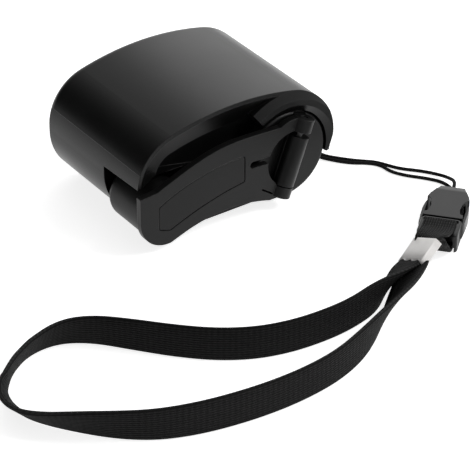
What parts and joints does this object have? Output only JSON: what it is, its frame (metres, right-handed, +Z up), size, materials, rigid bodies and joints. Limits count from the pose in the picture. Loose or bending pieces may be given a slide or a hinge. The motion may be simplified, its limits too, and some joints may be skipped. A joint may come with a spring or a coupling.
{
  "type": "hand crank phone charger",
  "caption": "Pocket dynamo charger: domed two-part case, folding crank arm with knob tucked in a notch, USB socket, and a wrist strap on a side-release buckle.",
  "frame": {"origin": "bottom centre of the charger's own box, cords left out", "axes": "+Z up, +X to the right along the length of the case, +Y from the crank side to the back"},
  "size_m": [0.159, 0.1262, 0.0365],
  "materials": {
    "shell": "satin, fine texture",
    "hub": "satin",
    "arm": "satin",
    "arm_cover": "satin",
    "knob": "satin",
    "buckle": "satin",
    "bushing": "sintered bronze",
    "steel": "plain",
    "plate_steel": "plated sheet",
    "magnet": "matt",
    "inner_plastic": "plain",
    "brass": "bright",
    "board": "solder mask",
    "lamp_glass": "diffused",
    "capacitor_sleeve": "gloss",
    "ferrite": "matt",
    "chip": "matt",
    "red_insulation": "plain",
    "black_insulation": "plain",
    "string": "braided",
    "nylon": "plain",
    "copper": "enamelled wire on iron",
    "webbing": "ribbed weave",
    "crimp_steel": "bright nickel"
  },
  "bodies": {
    "casing": {"upper_shell": "shell", "lower_shell": "shell", "front_bushing": "bushing", "casing_screws": "steel", "gearbox_front_plate": "plate_steel", "gearbox_rear_plate": "plate_steel", "first_axle": "steel", "second_axle": "steel", "generator_can": "plate_steel", "generator_magnets": "magnet", "generator_end_cap": "inner_plastic", "generator_terminals": "brass", "circuit_board": "board", "board_screws": "steel", "usb_shell": "plate_steel", "usb_tongue": "inner_plastic", "usb_contacts": "brass", "lamp": "lamp_glass", "capacitor": "capacitor_sleeve", "inductor": "ferrite", "regulator_chip": "chip", "rectifier_diodes": "chip", "red_lead": "red_insulation", "black_lead": "black_insulation", "lanyard_post": "steel", "lanyard_string": "string", "buckle_socket": "buckle"},
    "crank": {"crank_hub": "hub", "drive_gear": "nylon", "rear_washer": "steel", "hub_screw": "steel"},
    "arm": {"crank_arm": "arm", "arm_cover": "arm_cover", "hinge_pin": "steel", "knob_screw": "steel"},
    "knob": {"crank_knob": "knob"},
    "first_wheel": {"first_gear": "nylon"},
    "second_wheel": {"second_gear": "nylon"},
    "armature": {"generator_pinion": "brass", "generator_shaft": "steel", "generator_rotor": "copper"},
    "buckle_half": {"buckle_plug": "buckle", "strap_tab": "webbing", "crimp": "crimp_steel", "wrist_strap": "webbing"}
  },
  "joints": [
    {"name": "crank_spin", "type": "hinge", "parent": "casing", "child": "crank", "pos_m": [0.0174, -0.0209, 0.01435], "axis": [0, -1, 0], "range_deg": [0, 120]},
    {"name": "crank_fold", "type": "hinge", "parent": "crank", "child": "arm", "pos_m": [0.0174, -0.0231, 0.01435], "axis": [0.3502, 0, 0.9367], "range_deg": [0, 180]},
    {"name": "knob_spin", "type": "hinge", "parent": "arm", "child": "knob", "pos_m": [-0.0236, -0.0209, 0.01065], "axis": [0, -1, 0], "continuous": true},
    {"name": "first_gear_spin", "type": "hinge", "parent": "casing", "child": "first_wheel", "pos_m": [0.00291, -0.0209, 0.01823], "axis": [0, -1, 0], "continuous": true},
    {"name": "second_gear_spin", "type": "hinge", "parent": "casing", "child": "second_wheel", "pos_m": [-0.00932, -0.0209, 0.01253], "axis": [0, -1, 0], "continuous": true},
    {"name": "generator_spin", "type": "hinge", "parent": "casing", "child": "armature", "pos_m": [-0.02013, -0.0209, 0.01646], "axis": [0, -1, 0], "continuous": true},
    {"name": "buckle_release", "type": "slide", "parent": "casing", "child": "buckle_half", "axis": [-0.7604, -0.6494, 0], "range_m": [0, 0.012]}
  ],
  "couplings": [
    {"joint": "first_gear_spin", "follows": "crank_spin", "ratio": -4},
    {"joint": "second_gear_spin", "follows": "crank_spin", "ratio": 14},
    {"joint": "generator_spin", "follows": "crank_spin", "ratio": -50.4}
  ]
}
